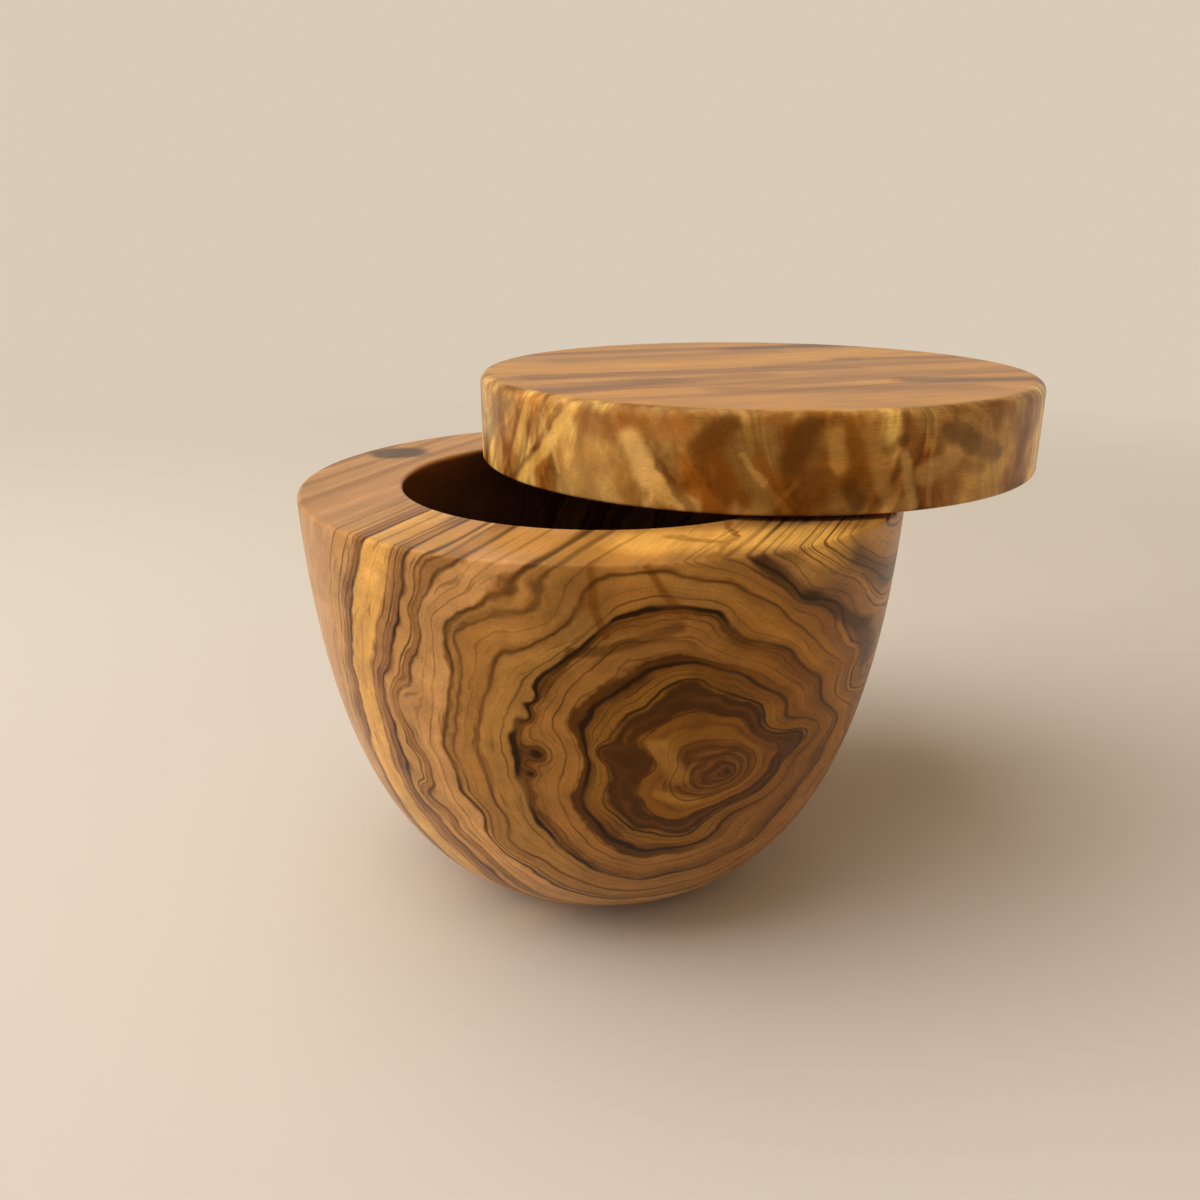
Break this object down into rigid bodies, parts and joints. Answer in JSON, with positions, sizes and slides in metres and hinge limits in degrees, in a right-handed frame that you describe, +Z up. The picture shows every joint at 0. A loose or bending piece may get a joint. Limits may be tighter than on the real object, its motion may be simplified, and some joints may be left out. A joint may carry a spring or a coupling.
{
  "type": "salt cellar",
  "caption": "Round turned wooden salt cellar: a thick-walled bowl with a thick disc lid that swivels sideways on a hidden pin in the rim.",
  "frame": {"origin": "centre of the bowl's flat foot, on the table", "axes": "+Z up along the bowl's axis; +Y from the bowl's axis towards the lid's pivot, so -Y is the front"},
  "size_m": [0.1447, 0.1259, 0.0949],
  "materials": {
    "bowl_wood": "oiled satin olive wood with dark heart lines",
    "lid_wood": "oiled satin olive wood, flame figured",
    "pin_steel": "ground dowel",
    "bush_brass": "turned",
    "washer_nylon": "moulded, matte"
  },
  "bodies": {
    "bowl": {"bowl": "bowl_wood", "pivot_bush": "bush_brass", "pivot_washer": "washer_nylon"},
    "lid": {"lid": "lid_wood", "pivot_pin": "pin_steel"}
  },
  "joints": [
    {"name": "lid_swivel", "type": "hinge", "parent": "bowl", "child": "lid", "pos_m": [0, 0.0458, 0.0775], "axis": [0, 0, 1], "continuous": true}
  ]
}
